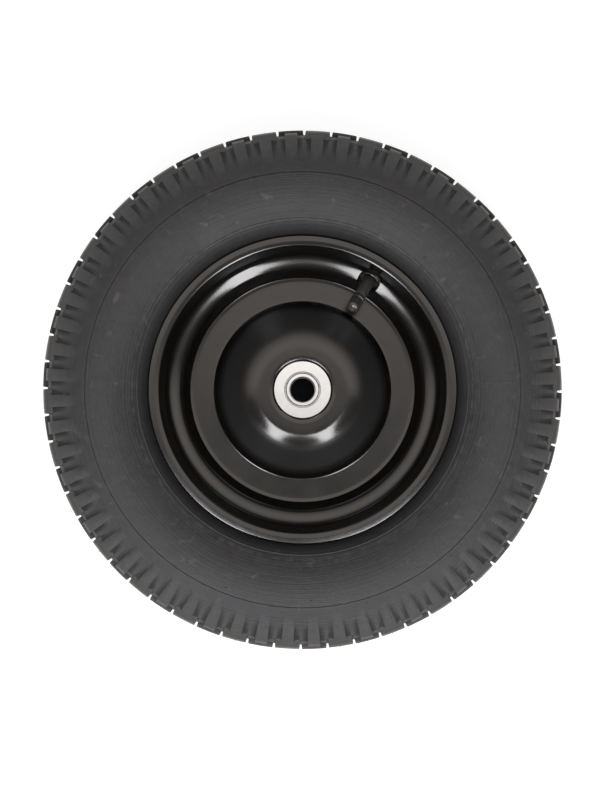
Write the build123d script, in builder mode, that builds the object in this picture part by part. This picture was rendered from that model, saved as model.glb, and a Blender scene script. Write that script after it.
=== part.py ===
from build123d import *
import os
from math import asin, cos, degrees, radians, sin, sqrt

os.makedirs("parts", exist_ok=True)

# A pneumatic wheel that lies on its back sidewall. Z is the wheel's axis, the
# origin is the wheel's centre and the valve is on the front, which faces +Z.

# Tyre
tyre_diameter = 400
section_width = 104
widest_radius = 155
sidewall_radius = 50
shoulder_angle = 44.4
rim_line_angle = 39
tread_depth = 3.5
tread_base = 5
sidewall_wall = 4.5
bead_width = 10.5
bead_height = 9
bead_gap = 0.2
lip_gap = 0.6
groove_ring_radius = 161.5
groove_ring_width = 1.2
groove_ring_depth = 0.8

# Tread: each pitch has a block column and, half a pitch on, a lug column
pitches = 30
tread_azimuth = 2.6
groove_width = 2
row_gap = 1.5
centre_row = 15
second_row = 11.5
shoulder_row = 12.5
lug_drop = 1.8
rib_width = 9.7
rib_relief = 1.2
rib_foot_radius = 169.5
block_root = 2

# Rim: two halves pressed from one sheet and welded back to back
sheet = 2
dome_height = 34.5
dome_flat_corner = 42
dome_foot_radius = 68.8
annulus_radius = 86.9
well_corner = (93.7, 14.5)
seat_corner = (102.4, 16.9)
flange_corner = 108.9
flange_face = 33
lip_radius = 117.3
dome_round = 21
foot_round = 1.2
well_round = 2
shelf_round = 2.4
flange_round = 2.2
lip_round = 1.7

# Hub and bearings
bore_diameter = 19.05
bearing_outside = 35
bearing_depth = 12
flange_diameter = 43.3
flange_thickness = 1.8
hub_wall = 2.5
hub_half = 35
race_end = 37.4
race_outside = 24.7
race_gap = 1.05
ball_diameter = 5.556
ball_pitch = 26.4
balls = 8
ball_clearance = 0.03
race_land = 28.4
bearing_chamfer = 0.4
press_gap = 0.02
cage_thickness = 1
cage_margin = 0.5
pocket_clearance = 0.1

# Valve: its axis leans from the radius towards the front
valve_azimuth = 58.6
valve_lean = 40
valve_hole_radius = 97.2
valve_hole_height = 15
valve_hole = 15
hole_lip = 1.8
hole_lip_depth = 2.6
hole_lip_rise = 0.6
hole_lip_bevel = 0.8
stem_diameter = 10.3
stem_length = 18.5
stem_neck = 13.8
neck_length = 1
neck_taper = 4
pad_diameter = 20
pad_thickness = 2
pad_depth = 4.5
brass_diameter = 7.7
brass_bore = 5.3
brass_top = 27.3
cap_diameter = 10
cap_length = 15.2
cap_wall = 1
cap_gap = 0.3
cap_seat_gap = 0.3
cap_end_gap = 0.9
cap_flutes = 14
flute_diameter = 0.9
core_diameter = 4.7
core_wall = 0.8
core_length = 12.5
core_drop = 0.8
core_floor = 1
seal_length = 1.5
pin_diameter = 0.9
pin_gap = 0.2
pin_drop = 0.3
cup_diameter = 3.8
cup_length = 1.5
collar_length = 0.7
collar_drop = 2

# Inner tube
tube_wall = 2
tube_gap = 0.3

# Worked out from the sizes above
tyre_radius = tyre_diameter / 2
floor_radius = tyre_radius - tread_depth
sidewall_centre = section_width / 2 - sidewall_radius
pitch_angle = 360 / pitches
block_angle = pitch_angle / 2 - degrees(groove_width / tyre_radius)
rib_angle = degrees(rib_width / tyre_radius)
second_start = centre_row / 2 + row_gap
second_end = second_start + second_row
shoulder_start = second_end + row_gap
shoulder_end = shoulder_start + shoulder_row


def sidewall_point(angle, inset=0):
    """A point of the sidewall's round, at an angle from its widest place."""
    reach = sidewall_radius - inset
    turn = radians(angle)
    return (widest_radius + reach * sin(turn), sidewall_centre + reach * cos(turn))


shoulder = sidewall_point(shoulder_angle)
crown_drop = floor_radius - shoulder[0]
crown_radius = (shoulder[1] ** 2 + crown_drop**2) / (2 * crown_drop)


def tread_radius(z, depth=0):
    """The tread's outside radius at a height from the mid-plane."""
    return tyre_radius - depth - crown_radius + sqrt(crown_radius**2 - z**2)


def sector_plane(azimuth):
    """A plane through the wheel's axis, with X outwards and Y along the axis."""
    return Plane.XZ.rotated((0, 0, azimuth))


seat_slope = (flange_corner - seat_corner[0]) / (flange_face - seat_corner[1])


def bead_seat(z):
    """The bead's inside radius at a height, where it clears the rim's conical seat."""
    skin = (sheet + bead_gap) * sqrt(1 + seat_slope**2)
    return seat_corner[0] + seat_slope * (z - seat_corner[1]) + skin


bead_face = flange_face - sheet - bead_gap
rim_line = sidewall_point(-rim_line_angle)
tyre_mouth = (lip_radius + 2 * lip_gap, flange_face + lip_gap)
bead_toe = (bead_seat(bead_face - bead_width), bead_face - bead_width)
bead_inner = (bead_toe[0] + bead_height, bead_toe[1] + 2)
cavity_angles = (-56, -28, 0, 22, shoulder_angle)
heel = flange_round - sheet + 0.7


def sector(outline, angle, azimuth):
    """A block of the tread: an outline turned through an angle about the axis."""
    with BuildPart() as block:
        with BuildSketch(sector_plane(azimuth - angle / 2)):
            with BuildLine():
                Polyline(*outline, close=True)
            make_face()
        revolve(axis=Axis.Z, revolution_arc=angle)
    return block.part


# Tyre: one pitch of the carcass takes its blocks, and the pitches are joined
groove_angle = degrees(asin((groove_ring_radius - widest_radius) / sidewall_radius))
groove_in = sidewall_point(groove_angle)
groove_out = sidewall_point(groove_angle + degrees(groove_ring_width / sidewall_radius))
floor_heights = (shoulder_start, second_start, -second_start, -shoulder_start)
floor_points = [(tread_radius(z, tread_depth), z) for z in floor_heights]
cavity_points = [sidewall_point(angle, sidewall_wall) for angle in cavity_angles]

with BuildPart() as pitch:
    with BuildSketch(sector_plane(-pitch_angle / 4)):
        with BuildLine():
            ThreePointArc(shoulder, sidewall_point(30), groove_out)
            Polyline(
                groove_out,
                (groove_out[0], groove_out[1] - groove_ring_depth),
                (groove_in[0], groove_in[1] - groove_ring_depth),
                groove_in,
            )
            ThreePointArc(groove_in, sidewall_point(-rim_line_angle / 2), rim_line)
            Polyline(
                rim_line,
                (tyre_mouth[0] + 1, tyre_mouth[1] + 2),
                tyre_mouth,
                (lip_radius + lip_gap, bead_face),
                (bead_seat(bead_face) + heel, bead_face),
                (bead_seat(bead_face - heel), bead_face - heel),
                bead_toe,
                bead_inner,
                *cavity_points,
                (floor_radius - tread_base, shoulder_start / 2),
                (floor_radius - tread_base, 0),
            )
            mirror(about=Plane.XZ)
            Polyline(shoulder, *floor_points, (shoulder[0], -shoulder[1]))
        make_face()
    revolve(axis=Axis.Z, revolution_arc=pitch_angle)
    for side in (1, -1):
        shoulder_block = [
            (tread_radius(shoulder_start, tread_depth + block_root), side * shoulder_start),
            (tread_radius(shoulder_start), side * shoulder_start),
            (tread_radius(shoulder_end), side * shoulder_end),
            (shoulder[0] - 1, side * (shoulder[1] + rib_relief + 0.8)),
            (shoulder[0] - 4, side * (shoulder[1] - block_root)),
        ]
        add(sector(shoulder_block, block_angle, 0))
        second_block = [
            (tread_radius(second_start, tread_depth + block_root), side * second_start),
            (tread_radius(second_start), side * second_start),
            (tread_radius(second_end), side * second_end),
            (tread_radius(second_end, tread_depth + block_root), side * second_end),
        ]
        add(sector(second_block, block_angle, pitch_angle / 2))
        lug = [
            (tread_radius(second_end, tread_depth + block_root), side * (second_end - 1)),
            (tread_radius(second_end, lug_drop), side * (second_end - 1)),
            (tread_radius(shoulder_end, lug_drop), side * shoulder_end),
            (shoulder[0] - 1, side * (shoulder[1] + rib_relief)),
            (shoulder[0] - 4, side * (shoulder[1] - block_root)),
        ]
        add(sector(lug, rib_angle, pitch_angle / 2))
        rib_top = sidewall_point(shoulder_angle, -rib_relief)
        rib_middle = sidewall_point(29, -rib_relief)
        rib = [
            (rib_top[0], side * rib_top[1]),
            (rib_middle[0], side * rib_middle[1]),
            (rib_foot_radius, side * sidewall_point(16, -rib_relief / 2)[1]),
            (rib_foot_radius - 1, side * (sidewall_point(16)[1] - block_root)),
            (shoulder[0] - 4, side * (shoulder[1] - block_root)),
        ]
        for azimuth in (0, pitch_angle / 2):
            add(sector(rib, rib_angle, azimuth))
    centre_block = [
        (floor_radius - block_root, -centre_row / 2),
        (tread_radius(centre_row / 2), -centre_row / 2),
        (tread_radius(centre_row / 2), centre_row / 2),
        (floor_radius - block_root, centre_row / 2),
    ]
    add(sector(centre_block, block_angle, 0))

with BuildPart() as tyre:
    with PolarLocations(0, pitches, start_angle=tread_azimuth):
        add(pitch.part)
tyre.part.label = "tyre"
export_step(tyre.part, "parts/tyre.step")

# Rim half: the visible skin of the pressing, thickened by the sheet
with BuildPart() as rim_half:
    with BuildSketch(Plane.XZ) as pressing:
        with BuildLine():
            hub_hole = bearing_outside / 2 + hub_wall + press_gap
            FilletPolyline(
                (hub_hole, dome_height),
                (dome_flat_corner, dome_height),
                (dome_foot_radius, sheet),
                (annulus_radius, sheet),
                well_corner,
                seat_corner,
                (flange_corner, flange_face),
                (lip_radius, flange_face),
                radius=[dome_round, foot_round, well_round, shelf_round, well_round, flange_round],
            )
            offset(amount=sheet, side=Side.RIGHT)
        make_face()
        lip = pressing.vertices().group_by(Axis.X)[-1].sort_by(Axis.Y)[-1]
        fillet(lip, lip_round)
    revolve(axis=Axis.Z)

# Valve frame: Z runs from the rim's hole towards the hub and the front
valve_turn = radians(valve_azimuth)
valve_rise = radians(valve_lean)
outward = Vector(cos(valve_turn), sin(valve_turn), 0)
valve_plane = Plane(
    origin=outward * valve_hole_radius + Vector(0, 0, valve_hole_height),
    x_dir=(-sin(valve_turn), cos(valve_turn), 0),
    z_dir=outward * -cos(valve_rise) + Vector(0, 0, sin(valve_rise)),
)
valve_section = Plane(valve_plane.origin, x_dir=valve_plane.x_dir, z_dir=valve_plane.y_dir * -1)
valve_axis = Axis(valve_plane.origin, valve_plane.z_dir)

with BuildPart() as rim_front:
    add(rim_half.part)
    with BuildSketch(valve_plane.offset(-hole_lip_depth)):
        Circle(valve_hole / 2 + hole_lip)
    extrude(amount=hole_lip_depth + hole_lip_rise)
    with BuildSketch(valve_plane.offset(hole_lip_rise)):
        Circle(valve_hole / 2 + hole_lip)
    extrude(amount=valve_hole, mode=Mode.SUBTRACT)
    with BuildSketch(valve_section):
        with BuildLine():
            Polyline(
                (0, hole_lip_rise),
                (valve_hole / 2 + hole_lip_bevel, hole_lip_rise),
                (valve_hole / 2, hole_lip_rise - hole_lip_bevel),
                (valve_hole / 2, -2 * hole_lip_depth),
                (0, -2 * hole_lip_depth),
                close=True,
            )
        make_face()
    revolve(axis=valve_axis, mode=Mode.SUBTRACT)
rim_front.part.label = "rim_front"
export_step(rim_front.part, "parts/rim_front.step")

with BuildPart() as rim_back:
    mirror(rim_half.part, about=Plane.XY)
rim_back.part.label = "rim_back"
export_step(rim_back.part, "parts/rim_back.step")

# Hub tube between the two bearings' flanges
with BuildPart() as hub_tube:
    with BuildSketch(Plane.XY.offset(-hub_half)):
        Circle(bearing_outside / 2 + hub_wall)
        Circle(bearing_outside / 2, mode=Mode.SUBTRACT)
    extrude(amount=2 * hub_half)
hub_tube.part.label = "hub_tube"
export_step(hub_tube.part, "parts/hub_tube.step")

# Bearing: rings turned about the axis, with the balls in the middle of its depth
ball_height = hub_half - bearing_depth / 2
groove_radius = ball_diameter / 2 + ball_clearance
mouth = race_outside / 2 + race_gap

with BuildPart() as front_outer_race:
    with BuildSketch(Plane.XZ) as cup:
        with BuildLine():
            Polyline(
                (mouth, hub_half + flange_thickness),
                (flange_diameter / 2, hub_half + flange_thickness),
                (flange_diameter / 2, hub_half),
                (bearing_outside / 2 - press_gap, hub_half),
                (bearing_outside / 2 - press_gap, hub_half - bearing_depth),
                (race_land / 2, hub_half - bearing_depth),
                (race_land / 2, hub_half),
                (mouth, hub_half),
                close=True,
            )
        make_face()
        face_edges = cup.vertices().group_by(Axis.Y)[-1]
        chamfer(face_edges, bearing_chamfer)
        with Locations((ball_pitch / 2, ball_height)):
            Circle(groove_radius, mode=Mode.SUBTRACT)
    revolve(axis=Axis.Z)

with BuildPart() as front_inner_race:
    with BuildSketch(Plane.XZ) as sleeve:
        with BuildLine():
            Polyline(
                (bore_diameter / 2, race_end),
                (race_outside / 2, race_end),
                (race_outside / 2, hub_half - bearing_depth),
                (bore_diameter / 2, hub_half - bearing_depth),
                close=True,
            )
        make_face()
        chamfer(sleeve.vertices().group_by(Axis.Y)[-1], bearing_chamfer)
        with Locations((ball_pitch / 2, ball_height)):
            Circle(groove_radius, mode=Mode.SUBTRACT)
    revolve(axis=Axis.Z)

with BuildPart() as front_balls:
    with BuildSketch(Plane.XZ):
        with Locations((ball_pitch / 2, ball_height)):
            Circle(ball_diameter / 2)
            Rectangle(ball_diameter, ball_diameter, align=(Align.MAX, Align.CENTER), mode=Mode.SUBTRACT)
    revolve(axis=Axis((ball_pitch / 2, 0, 0), (0, 0, 1)))
ball = front_balls.part

with BuildPart() as front_balls:
    with PolarLocations(0, balls):
        add(ball)

with BuildPart() as front_cage:
    with BuildSketch(Plane.XY.offset(ball_height - ball_diameter / 2 - cage_margin)):
        Circle((ball_pitch + cage_thickness) / 2)
        Circle((ball_pitch - cage_thickness) / 2, mode=Mode.SUBTRACT)
    extrude(amount=ball_diameter + 2 * cage_margin)
    for ball_number in range(balls):
        with BuildSketch(Plane.YZ.rotated((0, 0, 360 / balls * ball_number))):
            with Locations((0, ball_height)):
                Circle(ball_diameter / 2 + pocket_clearance)
        extrude(amount=ball_pitch, mode=Mode.SUBTRACT)

bearing = {
    "outer_race": front_outer_race,
    "inner_race": front_inner_race,
    "ball_cage": front_cage,
    "balls": front_balls,
}
for name, piece in bearing.items():
    front = piece.part
    front.label = f"front_{name}"
    export_step(front, f"parts/front_{name}.step")
    with BuildPart() as opposite:
        mirror(front, about=Plane.XY)
    opposite.part.label = f"back_{name}"
    export_step(opposite.part, f"parts/back_{name}.step")

# Valve, turned about its own axis
with BuildPart() as rubber_stem:
    with BuildSketch(valve_section):
        with BuildLine():
            Polyline(
                (brass_diameter / 2, -pad_depth - pad_thickness),
                (pad_diameter / 2, -pad_depth - pad_thickness),
                (pad_diameter / 2, -pad_depth),
                (stem_neck / 2, -pad_depth),
                (stem_neck / 2, neck_length),
                (stem_diameter / 2, neck_length + neck_taper),
                (stem_diameter / 2, stem_length),
                (brass_diameter / 2, stem_length),
                close=True,
            )
        make_face()
    revolve(axis=valve_axis)
    rim_edge = rubber_stem.edges().filter_by(GeomType.CIRCLE).sort_by(valve_axis)[-2:]
    fillet(rim_edge.sort_by(SortBy.RADIUS)[-1], 0.8)
rubber_stem.part.label = "rubber_stem"
export_step(rubber_stem.part, "parts/rubber_stem.step")

with BuildPart() as brass_stem:
    with BuildSketch(valve_plane.offset(-pad_depth - pad_thickness)):
        Circle(brass_diameter / 2)
        Circle(brass_bore / 2, mode=Mode.SUBTRACT)
    extrude(amount=pad_depth + pad_thickness + brass_top)
brass_stem.part.label = "brass_stem"
export_step(brass_stem.part, "parts/brass_stem.step")

core_top = brass_top - core_drop
core_bottom = core_top - core_length
core_bore = core_diameter / 2 - core_wall
with BuildPart() as valve_core:
    with BuildSketch(valve_section):
        with BuildLine():
            Polyline(
                (core_bore, core_top),
                (core_diameter / 2, core_top),
                (core_diameter / 2, core_bottom),
                (pin_diameter / 2 + pin_gap, core_bottom),
                (pin_diameter / 2 + pin_gap, core_bottom + core_floor),
                (core_bore, core_bottom + core_floor),
                close=True,
            )
        make_face()
    revolve(axis=valve_axis)
valve_core.part.label = "valve_core"
export_step(valve_core.part, "parts/valve_core.step")

with BuildPart() as core_seal:
    with BuildSketch(valve_plane.offset((core_top + core_bottom) / 2)):
        Circle(brass_bore / 2 - press_gap)
        Circle(core_diameter / 2 + press_gap, mode=Mode.SUBTRACT)
    extrude(amount=seal_length)
core_seal.part.label = "core_seal"
export_step(core_seal.part, "parts/core_seal.step")

pin_top = brass_top - pin_drop
cup_top = core_bottom - pin_gap
with BuildPart() as valve_pin:
    with BuildSketch(valve_section):
        with BuildLine():
            Polyline(
                (0, pin_top),
                (pin_diameter / 2, pin_top),
                (pin_diameter / 2, pin_top - collar_drop),
                (core_bore - pin_gap, pin_top - collar_drop),
                (core_bore - pin_gap, pin_top - collar_drop - collar_length),
                (pin_diameter / 2, pin_top - collar_drop - collar_length),
                (pin_diameter / 2, cup_top),
                (cup_diameter / 2, cup_top),
                (cup_diameter / 2, cup_top - cup_length),
                (0, cup_top - cup_length),
                close=True,
            )
        make_face()
    revolve(axis=valve_axis)
valve_pin.part.label = "valve_pin"
export_step(valve_pin.part, "parts/valve_pin.step")

cap_start = stem_length + cap_seat_gap
cap_bore = brass_diameter / 2 + cap_gap
with BuildPart() as valve_cap:
    with BuildSketch(valve_plane.offset(cap_start)):
        Circle(cap_diameter / 2)
    extrude(amount=cap_length)
    end_edge = valve_cap.edges().filter_by(GeomType.CIRCLE).sort_by(valve_axis)[-1]
    fillet(end_edge, cap_diameter / 5)
    with BuildSketch(valve_plane.offset(cap_start)):
        Circle(cap_bore)
    extrude(amount=brass_top + cap_end_gap - cap_start, mode=Mode.SUBTRACT)
    with BuildSketch(valve_plane.offset(cap_start + cap_wall)):
        with PolarLocations(cap_diameter / 2 + flute_diameter / 4, cap_flutes):
            Circle(flute_diameter / 2)
    extrude(amount=cap_length, mode=Mode.SUBTRACT)
valve_cap.part.label = "valve_cap"
export_step(valve_cap.part, "parts/valve_cap.step")

# Inner tube: it fills the tyre and the rim's well, and opens at the valve
with BuildPart() as inner_tube:
    with BuildSketch(Plane.XZ) as tube_section:
        with BuildLine():
            tube_crown = floor_radius - tread_base - 2 * tube_gap
            Polyline(
                (tube_crown, 0),
                (tube_crown, shoulder_start / 2),
                *reversed([sidewall_point(angle, sidewall_wall + 2 * tube_gap) for angle in cavity_angles]),
                (bead_inner[0], bead_inner[1] - 2 * tube_gap),
                (bead_toe[0], bead_toe[1] - 2 * tube_gap),
                (seat_corner[0] + sheet, seat_corner[1] - sheet),
                (seat_corner[0], seat_corner[1] - sheet - 3 * tube_gap),
                (well_corner[0] + sheet, well_corner[1] - sheet - 4 * tube_gap),
                (annulus_radius + sheet + 5 * tube_gap, 0),
            )
            mirror(about=Plane.XZ)
        make_face()
        offset(amount=-tube_wall, mode=Mode.SUBTRACT)
    revolve(axis=Axis.Z)
    with BuildSketch(valve_plane.offset(-hole_lip_depth - tube_gap)):
        Circle(valve_hole / 2 + hole_lip + tube_gap)
    extrude(amount=3 * hole_lip_depth, mode=Mode.SUBTRACT)
    with BuildSketch(valve_plane.offset(-pad_depth - pad_thickness)):
        Circle(pad_diameter / 2)
    extrude(amount=pad_thickness, mode=Mode.SUBTRACT)
    with BuildSketch(valve_plane.offset(-3 * pad_depth)):
        Circle(stem_neck / 2)
    extrude(amount=3 * pad_depth, mode=Mode.SUBTRACT)
inner_tube.part.label = "inner_tube"
export_step(inner_tube.part, "parts/inner_tube.step")
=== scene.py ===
import random
from math import ceil, cos, degrees, pi, radians, sin, sqrt, tan

import bmesh
import bpy
from bpy.props import FloatProperty, FloatVectorProperty, IntProperty, PointerProperty
from bpy.types import Operator, Panel, PropertyGroup
from mathutils import Matrix, Vector


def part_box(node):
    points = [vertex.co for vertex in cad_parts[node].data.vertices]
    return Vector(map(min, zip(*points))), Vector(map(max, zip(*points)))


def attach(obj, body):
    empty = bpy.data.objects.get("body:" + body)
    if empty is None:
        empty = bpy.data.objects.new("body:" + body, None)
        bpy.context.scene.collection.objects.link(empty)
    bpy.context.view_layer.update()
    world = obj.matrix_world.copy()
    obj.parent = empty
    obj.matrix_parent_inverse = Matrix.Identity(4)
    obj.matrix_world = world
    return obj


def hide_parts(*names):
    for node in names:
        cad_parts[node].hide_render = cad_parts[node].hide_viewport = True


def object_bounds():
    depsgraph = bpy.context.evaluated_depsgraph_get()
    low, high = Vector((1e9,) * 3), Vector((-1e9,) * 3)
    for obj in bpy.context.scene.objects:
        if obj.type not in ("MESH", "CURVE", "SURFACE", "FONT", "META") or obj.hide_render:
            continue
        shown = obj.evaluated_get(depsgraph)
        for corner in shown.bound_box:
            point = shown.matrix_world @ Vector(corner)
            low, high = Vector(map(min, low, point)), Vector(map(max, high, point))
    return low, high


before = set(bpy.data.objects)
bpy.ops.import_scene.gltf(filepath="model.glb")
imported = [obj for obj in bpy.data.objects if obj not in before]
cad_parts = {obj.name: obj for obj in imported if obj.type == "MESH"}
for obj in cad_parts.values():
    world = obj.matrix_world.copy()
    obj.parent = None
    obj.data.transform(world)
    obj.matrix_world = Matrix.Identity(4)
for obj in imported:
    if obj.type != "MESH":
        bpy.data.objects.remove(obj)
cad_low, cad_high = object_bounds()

bl_info = {
    "name": "Pneumatic wheel",
    "version": (1, 0, 0),
    "blender": (4, 5, 0),
    "location": "3D View > Sidebar > Wheel",
    "description": "Dresses the solids of a pneumatic barrow wheel with its tyre, rim, valve and finishes",
    "category": "Add Mesh",
}

# Outlines are (radius, height) pairs in millimetres; build_mesh turns them into metres.
MM = 0.001
tyre_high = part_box("tyre")[1]
lip_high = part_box("rim_front")[1]

# The middle of the valve's hole: azimuth, radius and height; and how far the valve leans towards the front
VALVE_AZIMUTH, VALVE_RADIUS, VALVE_HEIGHT = radians(58.6), 97.2, 15
VALVE_LEAN = radians(40)
WHITE = (1.0, 1.0, 1.0)
# Azimuths of the strip lamps
STRIPS = {"left": radians(238), "right": radians(298)}


# Sizes and colours that a user would change


class TyreSettings(PropertyGroup):
    """Sizes and colour of the tyre."""

    outside_radius: FloatProperty(
        name="Outside radius", description="From the axis to the top of the tread",
        default=200 * MM, unit="LENGTH",
    )
    half_width: FloatProperty(
        name="Half width", description="From the mid-plane to the widest place of the sidewall",
        default=tyre_high.z - 0.45 * MM, unit="LENGTH",
    )
    sidewall_round: FloatProperty(
        name="Sidewall round", description="Radius of the sidewall's section",
        default=50 * MM, unit="LENGTH",
    )
    widest_radius: FloatProperty(
        name="Widest radius", description="From the axis to where the tyre is widest",
        default=155 * MM, unit="LENGTH",
    )
    tread_depth: FloatProperty(
        name="Tread depth", description="Height of the blocks over the grooves",
        default=3.5 * MM, unit="LENGTH",
    )
    pitches: IntProperty(
        name="Pitches", description="How often the tread pattern repeats round the tyre",
        default=30, min=12, max=60,
    )
    tread_turn: FloatProperty(
        name="Tread turn", description="Azimuth of the first block",
        default=radians(2.6), unit="ROTATION",
    )
    rubber: FloatVectorProperty(
        name="Rubber", description="Colour of the tyre's rubber",
        default=(0.0195, 0.0195, 0.0222), subtype="COLOR", size=3, min=0, max=1,
    )
    rubber_bloom: FloatVectorProperty(
        name="Bloom", description="Colour of the paler bloom and dust on the rubber",
        default=(0.038, 0.038, 0.042), subtype="COLOR", size=3, min=0, max=1,
    )


class RimSettings(PropertyGroup):
    """Sizes and colour of the pressed rim."""

    sheet: FloatProperty(
        name="Sheet", description="Thickness of the pressed steel", default=2 * MM, unit="LENGTH",
    )
    lip_radius: FloatProperty(
        name="Lip radius", description="From the axis to the rim's edge",
        default=lip_high.x, unit="LENGTH",
    )
    dome_height: FloatProperty(
        name="Dome height", description="From the mid-plane to the flat of the dome",
        default=34.5 * MM, unit="LENGTH",
    )
    turns: IntProperty(
        name="Facets", description="Facets round the rim", default=224, min=64, max=512,
    )
    enamel: FloatVectorProperty(
        name="Enamel", description="Colour of the black enamel",
        default=(0.003, 0.0026, 0.0023), subtype="COLOR", size=3, min=0, max=1,
    )
    enamel_dust: FloatVectorProperty(
        name="Dust", description="Colour of the faint dust on the enamel",
        default=(0.09, 0.08, 0.07), subtype="COLOR", size=3, min=0, max=1,
    )


class FittingSettings(PropertyGroup):
    """Sizes and colours of the bearings and the valve."""

    hole_radius: FloatProperty(
        name="Valve hole", description="Radius of the hole for the valve", default=7.5 * MM, unit="LENGTH",
    )
    cap_radius: FloatProperty(
        name="Cap radius", description="Outside radius of the valve's cap", default=5 * MM, unit="LENGTH",
    )
    cap_flutes: IntProperty(
        name="Cap flutes", description="Grip flutes round the valve's cap", default=14, min=6, max=30,
    )
    zinc: FloatVectorProperty(
        name="Zinc", description="Colour of the plated bearing rings",
        default=(0.65, 0.672, 0.695), subtype="COLOR", size=3, min=0, max=1,
    )
    brass: FloatVectorProperty(
        name="Brass", description="Colour of the valve's brass",
        default=(0.72, 0.55, 0.27), subtype="COLOR", size=3, min=0, max=1,
    )
    cap_plastic: FloatVectorProperty(
        name="Cap plastic", description="Colour of the valve's cap",
        default=(0.032, 0.03, 0.027), subtype="COLOR", size=3, min=0, max=1,
    )


class StageSettings(PropertyGroup):
    """Camera, lamps and floor."""

    camera_height: FloatProperty(
        name="Camera height", description="Camera above the wheel's mid-plane",
        default=1.2, unit="LENGTH",
    )
    lens: FloatProperty(
        name="Lens", description="Focal length in millimetres on a 36 mm frame",
        default=69.5, min=20, max=200,
    )
    softbox_power: FloatProperty(
        name="Softbox power", description="Power of each strip lamp in watts", default=5.0, min=0,
    )
    softbox_shine: FloatProperty(
        name="Softbox shine", description="Power of each strip as the gloss shows it, in watts",
        default=19.0, min=0,
    )
    room_light: FloatProperty(
        name="Room light", description="Level of the light from all round", default=0.5, min=0,
    )


# Places and outlines


def around(across, turn, up=0.0):
    """The point at a radius, an azimuth and a height."""
    return Vector((across * cos(turn), across * sin(turn), up))


def framed(azimuth, axis, centre):
    """A frame whose X runs round the wheel at an azimuth and whose Z is an axis."""
    across = around(1, azimuth + pi / 2)
    matrix = Matrix((across, axis.cross(across), axis)).transposed().to_4x4()
    matrix.translation = centre
    return matrix


def rounded(corners, step=radians(9)):
    """A closed outline whose corners (radius, height, round) are turned into arcs."""
    points = []
    for number, (across, up, bend) in enumerate(corners):
        here = Vector((across, up))
        before = (Vector(corners[number - 1][:2]) - here).normalized()
        after = (Vector(corners[(number + 1) % len(corners)][:2]) - here).normalized()
        opening = before.angle(after)
        if bend <= 0 or opening > radians(179):
            points.append(tuple(here))
            continue
        turn = pi - opening
        start = here + before * bend / tan(opening / 2)
        centre = here + (before + after).normalized() * bend / sin(opening / 2)
        arm = start - centre
        side = 1 if (-before.x * after.y + before.y * after.x) > 0 else -1
        steps = max(2, ceil(turn / step))
        for k in range(steps + 1):
            angle = side * turn * k / steps
            points.append((
                centre.x + arm.x * cos(angle) - arm.y * sin(angle),
                centre.y + arm.x * sin(angle) + arm.y * cos(angle),
            ))
    return points


def shifted(line, distance):
    """An open line moved to the right of its run, without the points of a bend that fall together."""
    moved, least = [], 0.01
    for number, point in enumerate(line):
        ahead = Vector(line[min(number + 1, len(line) - 1)])
        behind = Vector(line[max(number - 1, 0)])
        run = (ahead - behind).normalized()
        goal = Vector((point[0] + run.y * distance, point[1] - run.x * distance))
        if not moved or (goal - Vector(moved[-1])).length > least:
            moved.append(tuple(goal))
    return moved


def spread(line, longest):
    """The same closed line with no side longer than a given length."""
    points = []
    for number, point in enumerate(line):
        here, following = Vector(point), Vector(line[(number + 1) % len(line)])
        parts = max(1, ceil((following - here).length / longest))
        points += [tuple(here.lerp(following, k / parts)) for k in range(parts)]
    return points


def turned(outline, count):
    """Points and faces of a closed outline turned about Z."""
    points, faces, rings = [], [], []
    for across, up in outline:
        if across < 1e-6:
            points.append(Vector((0, 0, up)))
            rings.append([len(points) - 1] * count)
            continue
        rings.append(list(range(len(points), len(points) + count)))
        for k in range(count):
            turn = 2 * pi * k / count
            points.append(around(across, turn, up))
    for number, ring in enumerate(rings):
        following = rings[(number + 1) % len(rings)]
        for k in range(count):
            face = [ring[k], ring[(k + 1) % count], following[(k + 1) % count], following[k]]
            corners = list(dict.fromkeys(face))
            if len(corners) > 2:
                faces.append(corners)
    return points, faces


# Pieces


def build_mesh(name, points, faces, place=Matrix.Identity(4), sharp=radians(34)):
    """A mesh in metres from points in millimetres, smooth but for its sharp edges."""
    mesh = bpy.data.meshes.new(name)
    mesh.from_pydata([place @ (Vector(p) * MM) for p in points], [], faces)
    shape = bmesh.new()
    shape.from_mesh(mesh)
    bmesh.ops.recalc_face_normals(shape, faces=shape.faces)
    shape.to_mesh(mesh)
    shape.free()
    smooth_mesh(mesh, sharp)
    return mesh


def smooth_mesh(mesh, sharp):
    mesh.polygons.foreach_set("use_smooth", [True] * len(mesh.polygons))
    mesh.set_sharp_from_angle(angle=sharp)
    mesh.update()


def add_piece(name, mesh, finish, body, slot, *nodes):
    """Puts a mesh in the scene as a piece of the wheel, in place of the nodes it stands for."""
    piece = bpy.data.objects.new(name, mesh)
    bpy.context.collection.objects.link(piece)
    mesh.materials.clear()
    mesh.materials.append(finish)
    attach(piece, body)
    if nodes:
        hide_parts(*nodes)
    return piece


def dress(node, finish):
    """Gives a CAD node that keeps its shape a finish."""
    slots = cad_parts[node].material_slots
    if not slots:
        raise RuntimeError(f"the node {node} has no material slot")
    for slot in slots:
        slot.material = finish


# Shader nodes


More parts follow.
